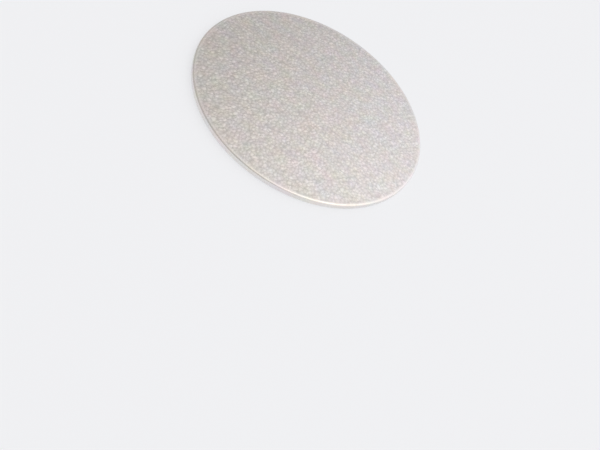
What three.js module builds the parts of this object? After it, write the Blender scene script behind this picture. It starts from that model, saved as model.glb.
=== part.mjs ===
// Round cake board: a disc of thick card wrapped in embossed silver foil.
// The foil covers the cake face, is drawn over both edges and turned in under the board.
// A disc of backing paper, glued on below, hides the raw edge of the foil.
// It was made up into one bonded piece, so it is one closed solid.
//
// Units are millimetres and +Z is up. The origin is the centre of the underside,
// where the backing paper rests on the table. The cake face looks up.

import * as THREE from 'three';

// Driving sizes

const BOARD_DIAMETER = 152; // across the foil: the 6 inch board of the set
const BOARD_THICKNESS = 4; // from the table to the cake face
const UPPER_EDGE_RADIUS = 1.1; // foil drawn over the edge of the cake face
const LOWER_EDGE_RADIUS = 0.8; // foil drawn under the board
const TURN_IN_WIDTH = 12; // foil that shows below, from the rim in to the backing paper
const PAPER_THICKNESS = 0.2; // backing paper and its glue
const GATHER_HEIGHT = 0.15; // folds of spare foil, highest where the paper covers them
const GATHER_COUNT = 90; // folds around the board

// Fineness of the faceted surfaces

const FACETS_PER_GATHER = 2; // one facet up to the crest of a fold and one down from it
const ARC_STEPS = 5; // facets from one end of an edge's quarter round to the other
const MARGIN_STEPS = 4; // rings of facets across the turned-in foil

// Sizes that follow from those

const RIM_RADIUS = BOARD_DIAMETER / 2;
const MARGIN_Z = PAPER_THICKNESS + GATHER_HEIGHT; // the paper is glued over the crests of the folds
const WALL_HEIGHT = BOARD_THICKNESS - MARGIN_Z;
const UPPER_ROUND = Math.min(UPPER_EDGE_RADIUS, WALL_HEIGHT / 2);
const LOWER_ROUND = Math.min(LOWER_EDGE_RADIUS, WALL_HEIGHT / 2);
const PAPER_RADIUS = RIM_RADIUS - Math.max(TURN_IN_WIDTH, 2 * LOWER_ROUND);
const SEGMENTS = GATHER_COUNT * FACETS_PER_GATHER;

const FOIL = new THREE.MeshStandardMaterial({
  name: 'silver_foil',
  color: 0xd0ccca,
  roughness: 0.4,
  metalness: 0.9,
});

// A quarter round of the rim, as (radius, height) points. Angles are in quarter turns from
// straight outwards, and positive is up.
function quarterRound(centreRadius, centreHeight, round, fromQuarter, toQuarter) {
  const points = [];
  for (let step = 0; step <= ARC_STEPS; step += 1) {
    const quarter = THREE.MathUtils.lerp(fromQuarter, toQuarter, step / ARC_STEPS);
    const angle = (quarter * Math.PI) / 2;
    points.push(new THREE.Vector2(
      centreRadius + round * Math.cos(angle),
      centreHeight + round * Math.sin(angle),
    ));
  }
  return points;
}

// The turned-in foil, from the edge of the backing paper out to the start of the lower round.
function turnedInMargin() {
  const points = [];
  for (let step = 0; step < MARGIN_STEPS; step += 1) {
    const share = step / MARGIN_STEPS;
    points.push(new THREE.Vector2(
      THREE.MathUtils.lerp(PAPER_RADIUS, RIM_RADIUS - LOWER_ROUND, share),
      MARGIN_Z,
    ));
  }
  return points;
}

// Half of the board's section, from the middle of the underside round to the middle of the face.
function boardProfile() {
  return [
    new THREE.Vector2(0, 0),
    new THREE.Vector2(PAPER_RADIUS, 0),
    ...turnedInMargin(),
    ...quarterRound(RIM_RADIUS - LOWER_ROUND, MARGIN_Z + LOWER_ROUND, LOWER_ROUND, -1, 0),
    ...quarterRound(RIM_RADIUS - UPPER_ROUND, BOARD_THICKNESS - UPPER_ROUND, UPPER_ROUND, 0, 1),
    new THREE.Vector2(0, BOARD_THICKNESS),
  ];
}

// Spare foil gathers into radial folds as it is turned in to a smaller circle. Each fold starts
// flat at the lower round and reaches its full height, downwards, where the paper covers it.
function raiseGathers(geometry, profileLength) {
  const position = geometry.getAttribute('position');
  const firstMarginPoint = 2; // after the middle and the rim of the backing paper
  for (let segment = 0; segment <= SEGMENTS; segment += 1) {
    const place = (segment % FACETS_PER_GATHER) / FACETS_PER_GATHER;
    const crest = 1 - Math.abs(2 * place - 1);
    for (let step = 0; step < MARGIN_STEPS; step += 1) {
      const fade = 1 - step / MARGIN_STEPS;
      const vertex = segment * profileLength + firstMarginPoint + step;
      position.setZ(vertex, MARGIN_Z - GATHER_HEIGHT * crest * fade);
    }
  }
}

function cakeBoard() {
  const profile = boardProfile();
  const geometry = new THREE.LatheGeometry(profile, SEGMENTS);
  geometry.rotateX(Math.PI / 2); // the lathe turns about Y, and the board stands on Z
  raiseGathers(geometry, profile.length);
  geometry.computeVertexNormals();
  const mesh = new THREE.Mesh(geometry, FOIL);
  mesh.name = 'cake_board';
  return mesh;
}

const part = new THREE.Group();
part.name = 'round_cake_board';
part.add(cakeBoard());

export default part;
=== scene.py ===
# %% [markdown]
# A round silver cake board, lying on a pale table.
# The real board is a disc of thick card. A sheet of embossed silver foil covers its face, is
# drawn over the rim and is turned in below, and a disc of paper hides the foil's raw edge.
# The lesson goes in this order: the frame, the camera, the floor and lights, the embossing,
# the foil's mesh, the backing paper's mesh, and the two finishes.

# %% Load the frame
import math

import bpy
import numpy as np
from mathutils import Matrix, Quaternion, Vector


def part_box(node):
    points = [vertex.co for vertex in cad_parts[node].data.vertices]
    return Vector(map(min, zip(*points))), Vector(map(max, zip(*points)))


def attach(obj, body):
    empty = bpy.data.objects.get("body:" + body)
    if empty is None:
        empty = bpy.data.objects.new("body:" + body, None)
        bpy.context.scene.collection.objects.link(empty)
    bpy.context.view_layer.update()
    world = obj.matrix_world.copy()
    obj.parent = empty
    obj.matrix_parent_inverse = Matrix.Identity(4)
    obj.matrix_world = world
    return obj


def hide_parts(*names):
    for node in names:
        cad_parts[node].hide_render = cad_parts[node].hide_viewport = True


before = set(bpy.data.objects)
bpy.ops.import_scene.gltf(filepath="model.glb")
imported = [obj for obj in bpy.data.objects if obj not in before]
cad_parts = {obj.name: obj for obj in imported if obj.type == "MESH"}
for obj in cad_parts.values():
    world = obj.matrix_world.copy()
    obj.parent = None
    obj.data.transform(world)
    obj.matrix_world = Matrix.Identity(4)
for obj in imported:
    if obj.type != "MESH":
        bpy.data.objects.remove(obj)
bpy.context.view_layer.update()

# %% [markdown]
# The camera comes first, because everything else is judged through it.
# The board in the photograph shows its face under an angle of about 40 degrees, and its outline
# leans to one side. Here the board lies flat, so the camera looks down at it under that same
# angle and is rolled until the outline leans as much. A roll could also be had by turning the
# board, but the board stays where the frame has it. The camera aims at a point beside the
# board, which puts the board in the upper middle of the picture without any lens shift.

# %% Camera
VIEW_ELEVATION = math.radians(39.71)  # of the eye, seen from the middle of the underside
VIEW_DISTANCE = 0.3189  # from the eye to the middle of the underside
AIM_POINT = Vector((0.02717, -0.08663, 0.0))  # on the floor, in the middle of the picture
CAMERA_ROLL = math.radians(39.35)
LENS_MM = 30.0
SENSOR_MM = 36.0
NEAREST_SEEN = 0.01
FARTHEST_SEEN = 100.0


def make_camera():
    data = bpy.data.cameras.new("camera")
    data.lens = LENS_MM
    data.sensor_width = SENSOR_MM
    data.clip_start = NEAREST_SEEN
    data.clip_end = FARTHEST_SEEN
    camera = bpy.data.objects.new("camera", data)
    bpy.context.scene.collection.objects.link(camera)
    eye = VIEW_DISTANCE * Vector((0.0, -math.cos(VIEW_ELEVATION), math.sin(VIEW_ELEVATION)))
    level = (AIM_POINT - eye).to_track_quat("-Z", "Y")
    camera.rotation_mode = "QUATERNION"
    camera.location = eye
    camera.rotation_quaternion = level @ Quaternion((0.0, 0.0, 1.0), CAMERA_ROLL)
    bpy.context.scene.camera = camera
    return camera


camera = make_camera()
bpy.context.scene.view_settings.view_transform = "Standard"
print("the eye is at, in mm:", [round(1000 * v, 1) for v in camera.location])

# %% [markdown]
# The floor is a wide plain sheet, pale and matt, and the board drops a soft shadow on it. Foil
# mirrors whatever is beside it, so the floor has to be nearly white for the rim's wall to look
# like bright foil. More lamps could do that, but they would light the foil too. Here part of
# the floor's paleness is its own glow, which only the camera and mirror rays see, so it lights
# nothing, and the rest is lit paint, which keeps the shadow.

# %% Floor
FLOOR_HALF_WIDTH = 12.0
FLOOR_COLOUR = (0.86, 0.885, 0.92, 1.0)
FLOOR_GLOW_COLOUR = (0.92, 0.925, 0.95, 1.0)
FLOOR_GLOW_SHARE = 0.65
FLOOR_ROUGHNESS = 0.9


def link_mesh(name, points, faces):
    """A mesh object from points in metres and faces given as rows of point numbers."""
    mesh = bpy.data.meshes.new(name)
    mesh.from_pydata(points, [], faces)
    mesh.update()
    made = bpy.data.objects.new(name, mesh)
    bpy.context.scene.collection.objects.link(made)
    return made


def seen_by_camera_or_mirror(nodes, links):
    """1 for a ray from the camera or from a glossy surface, and 0 for any other."""
    path = nodes.new("ShaderNodeLightPath")
    either = nodes.new("ShaderNodeMath")
    either.operation = "MAXIMUM"
    links.new(path.outputs["Is Camera Ray"], either.inputs[0])
    links.new(path.outputs["Is Glossy Ray"], either.inputs[1])
    return either.outputs[0]


def floor_material():
    material = bpy.data.materials.new("pale floor")
    material.use_nodes = True
    nodes, links = material.node_tree.nodes, material.node_tree.links
    paint = nodes["Principled BSDF"]
    paint.inputs["Base Color"].default_value = FLOOR_COLOUR
    paint.inputs["Roughness"].default_value = FLOOR_ROUGHNESS
    glow = nodes.new("ShaderNodeEmission")
    glow.inputs["Color"].default_value = FLOOR_GLOW_COLOUR
    share = nodes.new("ShaderNodeMath")
    share.operation = "MULTIPLY"
    share.inputs[1].default_value = FLOOR_GLOW_SHARE
    links.new(seen_by_camera_or_mirror(nodes, links), share.inputs[0])
    mix = nodes.new("ShaderNodeMixShader")
    links.new(share.outputs[0], mix.inputs[0])
    links.new(paint.outputs[0], mix.inputs[1])
    links.new(glow.outputs[0], mix.inputs[2])
    links.new(mix.outputs[0], nodes["Material Output"].inputs["Surface"])
    return material


def make_floor():
    half = FLOOR_HALF_WIDTH
    corners = [(-half, -half, 0.0), (half, -half, 0.0), (half, half, 0.0), (-half, half, 0.0)]
    floor = link_mesh("floor", corners, [(0, 1, 2, 3)])
    floor.data.materials.append(floor_material())
    return floor


make_floor()
print("the floor is", 2 * FLOOR_HALF_WIDTH, "m wide")

# %% [markdown]
# Foil has hardly a colour of its own: what it shows is the room. The photograph's face is
# lighter to the right, with no edge anywhere, so the room's light rises smoothly from a dim
# left to a bright right, as it does beside a large window. It is a little warmer towards the
# eye and cooler towards the back, so the room's colour changes smoothly along a second line.
# Soft boxes could be hung in an even room instead, but foil mirrors their straight edges, and
# they fell across the face as lines. One soft box is left, so high at the right that the flat
# of the face mirrors it only to an eye that is high at the left. It gives the board its soft
# shadow at the left, and a gleam on the edge at the lower right.

# %% World and soft box
BRIGHT_SIDE = (0.72, 0.08, 0.69)  # the way to the lightest part of the room
DIM_LEVEL = 0.54
BRIGHT_LEVEL = 1.17
DIM_END = 0.28  # where the dim level ends, as the cosine of the angle from the bright side
BRIGHT_END = 0.75  # where the bright level begins
COOL_SIDE = (0.5, 0.87, 0.0)  # the way to the coolest part of the room
WARM_COLOUR = (1.005, 0.97, 0.93, 1.0)
COOL_COLOUR = (0.97, 0.97, 1.035, 1.0)
WARM_END = 0.55  # where the warm colour ends, as the cosine of the angle from the cool side
COOL_END = 0.9  # where the cool colour begins
BACKDROP_COLOUR = (0.86, 0.87, 0.885, 1.0)


def rise_towards(nodes, links, side, low_end, high_end, low_value, high_value):
    """A value that rises evenly across the room as a direction comes nearer to a side."""
    towards = nodes.new("ShaderNodeVectorMath")
    towards.operation = "DOT_PRODUCT"
    towards.inputs[1].default_value = side
    links.new(nodes.new("ShaderNodeTexCoord").outputs["Generated"], towards.inputs[0])
    rise = nodes.new("ShaderNodeMapRange")
    rise.inputs["From Min"].default_value = low_end
    rise.inputs["From Max"].default_value = high_end
    rise.inputs["To Min"].default_value = low_value
    rise.inputs["To Max"].default_value = high_value
    links.new(towards.outputs["Value"], rise.inputs["Value"])
    return rise.outputs["Result"]


def make_world():
    world = bpy.data.worlds.new("studio")
    world.use_nodes = True
    nodes, links = world.node_tree.nodes, world.node_tree.links
    room = nodes["Background"]
    level = rise_towards(nodes, links, BRIGHT_SIDE, DIM_END, BRIGHT_END, DIM_LEVEL, BRIGHT_LEVEL)
    links.new(level, room.inputs["Strength"])
    colour = nodes.new("ShaderNodeMix")
    colour.data_type = "RGBA"
    colour.inputs["A"].default_value = WARM_COLOUR
    colour.inputs["B"].default_value = COOL_COLOUR
    cool = rise_towards(nodes, links, COOL_SIDE, WARM_END, COOL_END, 0.0, 1.0)
    links.new(cool, colour.inputs["Factor"])
    links.new(colour.outputs["Result"], room.inputs["Color"])
    backdrop = nodes.new("ShaderNodeBackground")
    backdrop.inputs["Color"].default_value = BACKDROP_COLOUR
    path = nodes.new("ShaderNodeLightPath")
    mix = nodes.new("ShaderNodeMixShader")
    links.new(path.outputs["Is Camera Ray"], mix.inputs[0])
    links.new(room.outputs[0], mix.inputs[1])
    links.new(backdrop.outputs[0], mix.inputs[2])
    links.new(mix.outputs[0], nodes["World Output"].inputs["Surface"])
    bpy.context.scene.world = world


def soft_box(name, azimuth, elevation, distance, width, height, brightness):
    """A soft box aimed at the board. Azimuth 0 is behind the board and 90 is at its right."""
    turn, rise = math.radians(azimuth), math.radians(elevation)
    towards = Vector((math.sin(turn) * math.cos(rise), math.cos(turn) * math.cos(rise), math.sin(rise)))
    data = bpy.data.lights.new(name, "AREA")
    data.shape = "RECTANGLE"
    data.size = width
    data.size_y = height
    data.energy = brightness * math.pi * width * height
    lamp = bpy.data.objects.new(name, data)
    bpy.context.scene.collection.objects.link(lamp)
    lamp.location = distance * towards
    lamp.rotation_mode = "QUATERNION"
    lamp.rotation_quaternion = (-towards).to_track_quat("-Z", "Y")
    print(name, "gives", round(data.energy, 2), "W")


make_world()
soft_box("key_box", azimuth=100, elevation=60, distance=1.3, width=0.8, height=0.8, brightness=0.49)

# %% [markdown]
# The sizes come from the frame: the board's width and thickness are its box. The rounding of
# the rim and the width of the turned-in foil are written here, as the card and the foil have
# them. All lengths in the script are in metres, so a small helper turns millimetres into them.

# %% Sizes of the board
def mm(length):
    return length / 1000.0


low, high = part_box("cake_board")
RIM_RADIUS = (high.x - low.x) / 2
FACE_HEIGHT = high.z
UPPER_ROUND = mm(1.1)
LOWER_ROUND = mm(0.8)
PAPER_THICKNESS = mm(0.2)
GATHER_HEIGHT = mm(0.15)
TURN_IN_WIDTH = mm(12)
PAPER_RADIUS = RIM_RADIUS - TURN_IN_WIDTH
MARGIN_HEIGHT = PAPER_THICKNESS + GATHER_HEIGHT
print("the board is", round(2000 * RIM_RADIUS, 1), "mm wide and", round(1000 * FACE_HEIGHT, 2), "mm thick")

# %% [markdown]
# The embossing is a random field of tiny rounded pebbles with narrow valleys between them,
# pressed into the foil by a roller. A bump map could fake it, but then the mesh would be a
# flat disc, so the pebbles are real relief. Each one grows round a seed, and the seeds are
# one to a square of a grid, moved at random inside it. At any point the nearest seed says
# which pebble it is, and the distances to the nearest two say how far up its side it is:
# equal distances are the valley between two pebbles. Pebbles of one size with level tops look
# like printed dots, so each seed also draws a height, a width and a lean. A distance counts
# for less from a wide pebble's seed, so that pebble takes room from its neighbours.

# %% Embossing
PEBBLE_SIZE = mm(2.0)
EMBOSS_DEPTH = mm(0.13)
EMBOSS_SEED = 11
LOW_CROWN = 0.5  # the height of the lowest pebble, where the highest is 1
CROWN_POWER = 1.6  # above 1, most pebbles are low and a few are high
NARROW, WIDE = 0.55, 1.45  # how much room a pebble may take from its neighbours
CROWN_LEAN = 0.9  # how much higher a pebble may be on one side, over one pebble's width
SIDE_POWER = 3  # the higher it is, the flatter the tops and the narrower the valleys
SEARCH = 3  # squares of the grid that are searched for seeds on each side of a point


def pebble_field(size, reach, seed):
    """A function that gives the height of the pebbles, 0 to 1, at points x and y within reach."""
    random = np.random.default_rng(seed)
    start = -reach - SEARCH * size
    cells = int(math.ceil(-2 * start / size)) + 1
    seed_x = start + (np.arange(cells)[None, :] + random.uniform(0.0, 1.0, (cells, cells))) * size
    seed_y = start + (np.arange(cells)[:, None] + random.uniform(0.0, 1.0, (cells, cells))) * size
    crown = LOW_CROWN + (1.0 - LOW_CROWN) * random.uniform(0.0, 1.0, (cells, cells)) ** CROWN_POWER
    spread = random.uniform(NARROW, WIDE, (cells, cells))
    lean_x, lean_y = random.uniform(-CROWN_LEAN, CROWN_LEAN, (2, cells, cells)) / size

    def height(x, y):
        column = np.floor((x - start) / size).astype(int)
        row = np.floor((y - start) / size).astype(int)
        nearest = np.full(x.shape, np.inf)
        second = np.full(x.shape, np.inf)
        top = np.zeros(x.shape)
        for down in range(-SEARCH, SEARCH + 1):
            for across in range(-SEARCH, SEARCH + 1):
                r, c = row + down, column + across
                off_x, off_y = x - seed_x[r, c], y - seed_y[r, c]
                gap = np.hypot(off_x, off_y) / spread[r, c]
                closer = gap < nearest
                second = np.where(closer, nearest, np.minimum(second, gap))
                leaned = crown[r, c] * (1.0 + lean_x[r, c] * off_x + lean_y[r, c] * off_y)
                top = np.where(closer, leaned, top)
                nearest = np.where(closer, gap, nearest)
        return np.clip(top * (1.0 - (nearest / second) ** SIDE_POWER), 0.0, 1.0)

    return height


SHEET_REACH = RIM_RADIUS + FACE_HEIGHT  # laid flat, the foil reaches past the rim by its wall
emboss = pebble_field(PEBBLE_SIZE, SHEET_REACH, EMBOSS_SEED)
print("the pebbles are about", 1000 * PEBBLE_SIZE, "mm wide and", 1000 * EMBOSS_DEPTH, "mm deep")

# %% [markdown]
# The foil is one sheet, so it is one mesh, made of rings of points. On the face the rings are
# evenly spaced, and each has as many points as its own length needs, so that the pebbles are
# as finely drawn in the middle as at the rim. Two rings with different counts are joined like
# a zip: at each step the ring that is behind moves on by one point.

# %% Rings and zips
GRAIN = mm(0.485)  # the distance between the mesh's points on the face
FEWEST_POINTS = 6  # in the smallest ring, round the middle
PLAIN_PAINTED_LIGHT = 0.6  # the painted light and shade of a ring that gives no values of its own


class RingMesh:
    """Rings of points round the Z axis, and the triangles that join each ring to the next."""

    def __init__(self):
        self.points = []
        self.painted_relief_light = []
        self.faces = []
        self.total = 0

    def ring(self, x, y, z, painted_relief_light=None):
        """Adds a ring of points, with the painted light and shade of each one, and gives their numbers."""
        numbers = np.arange(self.total, self.total + len(x))
        self.points.append(np.column_stack([x, y, z]))
        self.painted_relief_light.append(np.full(len(x), PLAIN_PAINTED_LIGHT) if painted_relief_light is None else painted_relief_light)
        self.total += len(x)
        return numbers

    def zip(self, inner, outer):
        """Joins two rings that both start at angle 0 and go round anticlockwise, seen from outside."""
        a, b = len(inner), len(outer)
        i = j = 0
        while i < a or j < b:
            if j < b and (i >= a or (j + 1) * a <= (i + 1) * b):
                self.faces.append((inner[i % a], outer[j % b], outer[(j + 1) % b]))
                j += 1
            else:
                self.faces.append((inner[i % a], outer[j % b], inner[(i + 1) % a]))
                i += 1

    def close(self, middle, around):
        """Joins a single middle point to the ring around it."""
        for k in range(len(around)):
            self.faces.append((middle, around[k], around[(k + 1) % len(around)]))


def angles(count):
    return np.arange(count) * (2 * math.pi / count)


# %% [markdown]
# On the real board the pebbles are crisp on the flat face. Where the foil is drawn over the
# rim it is stretched, and they are pulled nearly flat. So the relief is full up to a little
# inside the rim, fades over the rounding, and only a trace is left on the wall. All of it is
# pressed inwards, so that the foil never stands out of the board's box.

# %% The foil's face
FLAT_RADIUS = RIM_RADIUS - UPPER_ROUND  # the flat of the face ends where the rounding starts
FADE_START = FLAT_RADIUS - mm(1.5)
FADE_END = FLAT_RADIUS
RIM_TRACE = 0.22  # share of the relief that is left on the rim
RIM_PAINTED_LIGHT = 0.9  # the painted light on the rim, painted evenly lighter so that its wall shows as bright foil; the top of the highest pebble is 1


def relief_share(radius):
    """1 on the face, falling to RIM_TRACE where the foil is drawn over the rim."""
    t = np.clip((radius - FADE_START) / (FADE_END - FADE_START), 0.0, 1.0)
    return 1.0 - (1.0 - RIM_TRACE) * t * t * (3.0 - 2.0 * t)


def paint_relief_light(bump, share):
    """The painted light and shade on the foil: following its relief on the face, and even on the rim."""
    return share * bump + (1.0 - share) * RIM_PAINTED_LIGHT


def face_rings(mesh):
    """The flat of the face, from the middle out to where the rim's rounding starts."""
    steps = int(round(FLAT_RADIUS / GRAIN))
    middle = mesh.ring(np.zeros(1), np.zeros(1), np.full(1, FACE_HEIGHT - EMBOSS_DEPTH / 2))
    before = None
    for step in range(1, steps + 1):
        radius = FLAT_RADIUS * step / steps
        turn = angles(max(FEWEST_POINTS, int(round(2 * math.pi * radius / GRAIN))))
        x, y = radius * np.cos(turn), radius * np.sin(turn)
        bump = emboss(x, y)
        share = relief_share(radius)
        # The colour gets painted light from the relief: lighter on the pebbles' tops, darker in the
        # valleys.
        here = mesh.ring(x, y, FACE_HEIGHT - EMBOSS_DEPTH * share * (1.0 - bump), paint_relief_light(bump, share))
        if before is None:
            mesh.close(middle[0], here)
        else:
            mesh.zip(before, here)
        before = here
    return before


foil = RingMesh()
face_edge = face_rings(foil)
print("the face has", len(foil.faces), "triangles and", len(face_edge), "points round its edge")

# %% [markdown]
# The rim is a short wall between two quarter rounds, the upper one over the edge of the face
# and the lower one under the board. Foil that is drawn over a card's edge follows it closely,
# with only faint unevenness, so the wall gets the trace of the relief and nothing else. The
# pattern goes on round the corner: it is read at the distance along the foil, as if the sheet
# were still flat.

# %% The foil's rim
RIM_POINTS = 984
ROUND_STEPS = 5
WALL_STEPS = 3


def rim_section():
    """Radius, height, outward direction and distance along the foil, from the face's edge down."""
    rows = []
    travelled = 0.0
    for step in range(1, ROUND_STEPS + 1):
        lean = (math.pi / 2) * step / ROUND_STEPS
        centre = (FLAT_RADIUS, FACE_HEIGHT - UPPER_ROUND)
        out = (math.sin(lean), math.cos(lean))
        travelled += UPPER_ROUND * (math.pi / 2) / ROUND_STEPS
        rows.append((centre[0] + UPPER_ROUND * out[0], centre[1] + UPPER_ROUND * out[1], out, travelled))
    wall_top = FACE_HEIGHT - UPPER_ROUND
    wall_foot = MARGIN_HEIGHT + LOWER_ROUND
    for step in range(1, WALL_STEPS + 1):
        height = wall_top + (wall_foot - wall_top) * step / WALL_STEPS
        rows.append((RIM_RADIUS, height, (1.0, 0.0), travelled + wall_top - height))
    travelled += wall_top - wall_foot
    for step in range(1, ROUND_STEPS + 1):
        lean = (math.pi / 2) * step / ROUND_STEPS
        centre = (RIM_RADIUS - LOWER_ROUND, MARGIN_HEIGHT + LOWER_ROUND)
        out = (math.cos(lean), -math.sin(lean))
        travelled += LOWER_ROUND * (math.pi / 2) / ROUND_STEPS
        rows.append((centre[0] + LOWER_ROUND * out[0], centre[1] + LOWER_ROUND * out[1], out, travelled))
    return rows


def rim_rings(mesh, before):
    """The rounding over the face's edge, the wall and the rounding under the board."""
    turn = angles(RIM_POINTS)
    for radius, height, out, travelled in rim_section():
        sheet_radius = FLAT_RADIUS + travelled
        bump = emboss(sheet_radius * np.cos(turn), sheet_radius * np.sin(turn))
        dip = EMBOSS_DEPTH * RIM_TRACE * (1.0 - bump)
        x, y = (radius - dip * out[0]) * np.cos(turn), (radius - dip * out[0]) * np.sin(turn)
        # On the rim the colour is painted evenly light, with a trace of the pebbles' painted light and
        # shade.
        here = mesh.ring(x, y, height - dip * out[1], paint_relief_light(bump, RIM_TRACE))
        mesh.zip(before, here)
        before = here
    return before


rim_edge = rim_rings(foil, face_edge)
print("with the rim the foil has", len(foil.faces), "triangles")

# %% [markdown]
# Below, the foil is turned in to a smaller circle, and the spare foil gathers into radial
# folds, each pressed over to one side. They start flat at the rim and are highest where the
# paper covers them. Real folds are uneven, so each has its own place, width and height, drawn
# from a seeded generator. The folds could be cut into the mesh one by one, but a height that
# depends on the angle does the same with no boolean. As on the pebbles, a painted highlight
# lies on the crests of the folds and painted shade lies between them.

# %% The turned-in foil
GATHERS = 90
GATHER_SEED = 5
FOLD_SHIFT = 0.3  # how far a fold may be from its even place, as a share of the pitch
FOLD_WIDTHS = (0.35, 0.8)  # as shares of the pitch
FOLD_HEIGHTS = (0.35, 1.0)  # as shares of GATHER_HEIGHT
FOLD_CRESTS = (0.2, 0.8)  # where the crest is, across the fold
FOLD_SLANT = 0.02  # the angle that a fold turns through on its way in from the rim
FOLD_GROWTH = 0.6  # below 1, the folds rise fast near the rim and slowly after that
PAPER_OVERLAP = mm(1)  # how far the folds go on under the paper
MARGIN_STEPS = 9


def gather_profile():
    """A function of the angle that gives the height of the folds, 0 to 1."""
    random = np.random.default_rng(GATHER_SEED)
    pitch = 2 * math.pi / GATHERS
    places = (np.arange(GATHERS) + random.uniform(-FOLD_SHIFT, FOLD_SHIFT, GATHERS)) * pitch
    widths = random.uniform(*FOLD_WIDTHS, GATHERS) * pitch
    heights = random.uniform(*FOLD_HEIGHTS, GATHERS)
    crests = random.uniform(*FOLD_CRESTS, GATHERS)

    def profile(turn):
        height = np.zeros(turn.shape)
        for place, width, top, crest in zip(places, widths, heights, crests):
            offset = (turn - place + math.pi) % (2 * math.pi) - math.pi
            across = np.clip(offset / width + 0.5, 0.0, 1.0)
            rise = np.minimum(across / crest, (1.0 - across) / (1.0 - crest))
            height = np.maximum(height, top * rise)
        return height

    return profile


def margin_rings(mesh, before):
    """The turned-in foil, then a plain middle that the paper hides."""
    turn = angles(RIM_POINTS)
    folds = gather_profile()
    outer = RIM_RADIUS - LOWER_ROUND
    inner = PAPER_RADIUS - PAPER_OVERLAP
    for step in range(1, MARGIN_STEPS + 1):
        share = step / MARGIN_STEPS
        radius = outer + (inner - outer) * share
        x, y = radius * np.cos(turn), radius * np.sin(turn)
        trace = EMBOSS_DEPTH * RIM_TRACE * emboss(x, y)
        fold = folds(turn + FOLD_SLANT * share)
        grown = share ** FOLD_GROWTH
        height = MARGIN_HEIGHT - GATHER_HEIGHT * grown * fold + trace
        # Painted highlight on the crests of the folds and painted shade between them.
        here = mesh.ring(x, y, height, paint_relief_light(fold, grown))
        mesh.zip(before, here)
        before = here
    middle = mesh.ring(np.zeros(1), np.zeros(1), np.full(1, MARGIN_HEIGHT))
    for k in range(RIM_POINTS):
        mesh.faces.append((before[k], middle[0], before[(k + 1) % RIM_POINTS]))


margin_rings(foil, rim_edge)
print("with the turned-in margin the foil has", len(foil.faces), "triangles")

# %% [markdown]
# Now the rings become a Blender object. It stands for the board's CAD node, rides on the same
# body and gets the foil finish below. It is shaded smooth, because the pebbles are
# rounded and the mesh is fine enough to carry them.

# %% The foil wrap
def ring_object(name, rings):
    """A smooth object from rings, with their painted light and shade as an attribute, riding on the
    board's body.
    """
    made = link_mesh(name, np.concatenate(rings.points).tolist(), rings.faces)
    made.data.shade_smooth()
    # The painted light and shade of each point, kept on the mesh for the foil's colour.
    painted_relief_light = made.data.attributes.new("painted_relief_light", "FLOAT", "POINT")
    painted_relief_light.data.foreach_set("value", np.concatenate(rings.painted_relief_light).astype(np.float32))
    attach(made, "root")
    return made


foil_wrap = ring_object("foil_wrap", foil)
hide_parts("cake_board")
print("foil_wrap has", len(foil_wrap.data.polygons), "triangles")

# %% [markdown]
# The backing paper is a thin plain disc. It is glued over the folds, so they show faintly
# through its rim as ripples, and its cut edge is square. Its underside is the face that the
# board rests on. Simulated cloth could be laid over the folds, but glued paper hardly moves, so
# the same fold profile lifts its rim by a hair between the folds.

# %% The backing paper
RIPPLE_HEIGHT = mm(0.05)
RIPPLE_WIDTH = mm(6)
PAPER_STEPS = 6


def paper_disc(mesh):
    """The glued side, the cut edge and the rippled underside of the paper."""
    turn = angles(RIM_POINTS)
    folds = gather_profile()(turn + FOLD_SLANT)
    top = mesh.ring(np.zeros(1), np.zeros(1), np.full(1, PAPER_THICKNESS))
    glued = np.full(RIM_POINTS, PAPER_THICKNESS)
    upper = mesh.ring(PAPER_RADIUS * np.cos(turn), PAPER_RADIUS * np.sin(turn), glued)
    mesh.close(top[0], upper)
    before = upper
    for step in range(PAPER_STEPS + 1):
        share = 1.0 - step / PAPER_STEPS
        radius = PAPER_RADIUS - RIPPLE_WIDTH * (1.0 - share)
        rise = RIPPLE_HEIGHT * share * (1.0 - folds)
        here = mesh.ring(radius * np.cos(turn), radius * np.sin(turn), rise)
        mesh.zip(before, here)
        before = here
    foot = mesh.ring(np.zeros(1), np.zeros(1), np.zeros(1))
    for k in range(RIM_POINTS):
        mesh.faces.append((before[k], foot[0], before[(k + 1) % RIM_POINTS]))


paper = RingMesh()
paper_disc(paper)
backing_paper = ring_object("backing_paper", paper)
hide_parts("cake_board")
print("backing_paper has", len(backing_paper.data.polygons), "triangles")

# %% [markdown]
# The foil's finish is a metal with very little colour. Its tint wanders in patches between
# pinkish, yellowish and bluish grey, so each of red, green and blue gets a slow noise of its
# own. The colour is painted lighter on the tops of the pebbles, as a painted highlight, and
# darker in the valleys, as painted shade. Cavities could be darkened by an ambient occlusion
# node, but it is slow and the relief is known already, so the painted light and shade that are
# stored on the mesh shade the colour. Rolled foil has a fine haze, so its roughness varies a
# little. A second, finer embossing lies on top of the pebbles, too small for the mesh, and goes
# in as bump. It is weakest on the rim, where the foil is stretched, so its strength follows how
# much the surface faces up or down.

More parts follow.
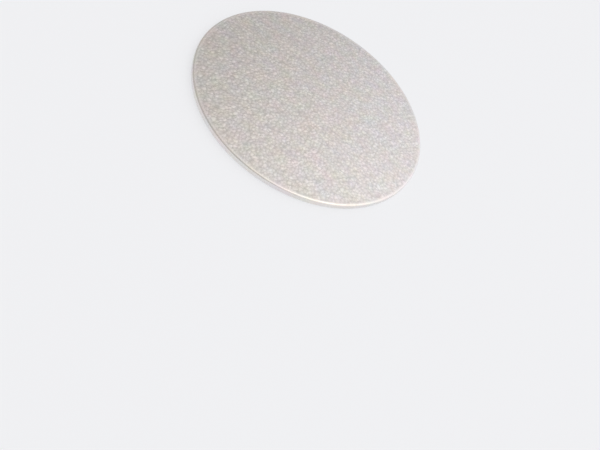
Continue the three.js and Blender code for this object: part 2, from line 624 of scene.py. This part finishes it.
# %% Foil finish
FOIL_COLOUR = (0.815, 0.785, 0.765)
TINT_SPREAD = (0.15, 0.10, 0.15)  # how far each of red, green and blue may wander
TINT_PATCH = mm(8)
VALLEY_PAINTED_SHADE = 0.73  # the painted shade at the bottom of a valley, as a share of the foil's colour
CROWN_PAINTED_HIGHLIGHT = 1.08  # the painted highlight on top of the highest pebbles, as a share of the foil's colour
PAINTED_SHADE_POWER = 0.85  # below 1, most of the painted shade is near the bottom of the valleys
HAZE_PATCH = mm(4)
HAZE_STOPS = (0.3, 0.7)  # the noise values at which the foil is clearest and haziest
CLEAR_ROUGHNESS = 0.26
HAZY_ROUGHNESS = 0.36
FINE_GRAIN = mm(0.55)
FINE_DEPTH = mm(0.03)
FINE_ON_RIM = 0.15  # the strength of the fine embossing where the surface is steep
STEEP, LEVEL = 0.5, 1.0  # how much a steep and a level surface face up or down


def noise(nodes, links, where, patch, detail, output="Fac"):
    """A noise texture whose features are about as wide as patch, read at the object's own place."""
    node = nodes.new("ShaderNodeTexNoise")
    node.inputs["Scale"].default_value = 1.0 / patch
    node.inputs["Detail"].default_value = detail
    links.new(where, node.inputs["Vector"])
    return node.outputs[output]


def ramp_between(nodes, links, factor, low_stop, high_stop, low_value, high_value):
    """Maps a factor between two stops onto two values, and clamps it outside them."""
    node = nodes.new("ShaderNodeMapRange")
    node.inputs["From Min"].default_value = low_stop
    node.inputs["From Max"].default_value = high_stop
    node.inputs["To Min"].default_value = low_value
    node.inputs["To Max"].default_value = high_value
    links.new(factor, node.inputs["Value"])
    return node.outputs["Result"]


def facing(nodes, links):
    """How much the surface faces up or down: 1 on the face and below, 0 on the rim's wall."""
    geometry = nodes.new("ShaderNodeNewGeometry")
    split = nodes.new("ShaderNodeSeparateXYZ")
    links.new(geometry.outputs["Normal"], split.inputs[0])
    size = nodes.new("ShaderNodeMath")
    size.operation = "ABSOLUTE"
    links.new(split.outputs["Z"], size.inputs[0])
    return size.outputs[0]


def foil_material():
    material = bpy.data.materials.new("embossed silver foil")
    material.use_nodes = True
    nodes, links = material.node_tree.nodes, material.node_tree.links
    shader = nodes["Principled BSDF"]
    shader.inputs["Metallic"].default_value = 1.0
    where = nodes.new("ShaderNodeTexCoord").outputs["Object"]

    tint = nodes.new("ShaderNodeVectorMath")
    tint.operation = "MULTIPLY_ADD"
    links.new(noise(nodes, links, where, TINT_PATCH, detail=2.0, output="Color"), tint.inputs[0])
    tint.inputs[1].default_value = TINT_SPREAD
    tint.inputs[2].default_value = [level - spread / 2 for level, spread in zip(FOIL_COLOUR, TINT_SPREAD)]
    # Painted highlight on the tops of the pebbles and painted shade in the valleys, read from the mesh.
    painted_relief_light = nodes.new("ShaderNodeAttribute")
    painted_relief_light.attribute_name = "painted_relief_light"
    power = nodes.new("ShaderNodeMath")
    power.operation = "POWER"
    links.new(painted_relief_light.outputs["Fac"], power.inputs[0])
    power.inputs[1].default_value = PAINTED_SHADE_POWER
    shade = nodes.new("ShaderNodeVectorMath")
    shade.operation = "SCALE"
    links.new(tint.outputs[0], shade.inputs[0])
    brightness = ramp_between(nodes, links, power.outputs[0], 0.0, 1.0, VALLEY_PAINTED_SHADE, CROWN_PAINTED_HIGHLIGHT)
    links.new(brightness, shade.inputs["Scale"])
    links.new(shade.outputs[0], shader.inputs["Base Color"])

    haze = noise(nodes, links, where, HAZE_PATCH, detail=3.0)
    roughness = ramp_between(nodes, links, haze, *HAZE_STOPS, CLEAR_ROUGHNESS, HAZY_ROUGHNESS)
    links.new(roughness, shader.inputs["Roughness"])

    fine = nodes.new("ShaderNodeTexVoronoi")
    fine.inputs["Scale"].default_value = 1.0 / FINE_GRAIN
    links.new(where, fine.inputs["Vector"])
    bump = nodes.new("ShaderNodeBump")
    bump.inputs["Distance"].default_value = FINE_DEPTH
    strength = ramp_between(nodes, links, facing(nodes, links), STEEP, LEVEL, FINE_ON_RIM, 1.0)
    links.new(strength, bump.inputs["Strength"])
    links.new(fine.outputs["Distance"], bump.inputs["Height"])
    links.new(bump.outputs["Normal"], shader.inputs["Normal"])
    return material


foil_wrap.data.materials.append(foil_material())
print("foil finish: metal, haze patches", 1000 * HAZE_PATCH, "mm, fine grain", 1000 * FINE_GRAIN, "mm")

# %% [markdown]
# The paper is uncoated and plain: an off-white with a slight cloudiness, as paper has when the
# light shines across it, and a fibrous tooth. The fibres could be modelled as hair, but they
# are far thinner than anything else here, so they go in as bump. The paper needs little shine.

# %% Paper finish
PAPER_LIGHT = (0.83, 0.82, 0.79, 1.0)
PAPER_DARK = (0.78, 0.765, 0.73, 1.0)
CLOUD_PATCH = mm(5)
CLOUD_STOPS = (0.35, 0.65)  # the noise values at which the paper is darkest and lightest
FIBRE_PATCH = mm(0.5)
FIBRE_DEPTH = mm(0.02)
PAPER_ROUGHNESS = 0.85
PAPER_SHINE = 0.3


def paper_material():
    material = bpy.data.materials.new("backing paper")
    material.use_nodes = True
    nodes, links = material.node_tree.nodes, material.node_tree.links
    shader = nodes["Principled BSDF"]
    shader.inputs["Roughness"].default_value = PAPER_ROUGHNESS
    shader.inputs["Specular IOR Level"].default_value = PAPER_SHINE
    where = nodes.new("ShaderNodeTexCoord").outputs["Object"]

    cloud = nodes.new("ShaderNodeMix")
    cloud.data_type = "RGBA"
    cloud.inputs["A"].default_value = PAPER_DARK
    cloud.inputs["B"].default_value = PAPER_LIGHT
    patches = noise(nodes, links, where, CLOUD_PATCH, detail=4.0)
    links.new(ramp_between(nodes, links, patches, *CLOUD_STOPS, 0.0, 1.0), cloud.inputs["Factor"])
    links.new(cloud.outputs["Result"], shader.inputs["Base Color"])

    bump = nodes.new("ShaderNodeBump")
    bump.inputs["Distance"].default_value = FIBRE_DEPTH
    links.new(noise(nodes, links, where, FIBRE_PATCH, detail=4.0), bump.inputs["Height"])
    links.new(bump.outputs["Normal"], shader.inputs["Normal"])
    return material


backing_paper.data.materials.append(paper_material())
print("paper finish: off-white, clouds", 1000 * CLOUD_PATCH, "mm")
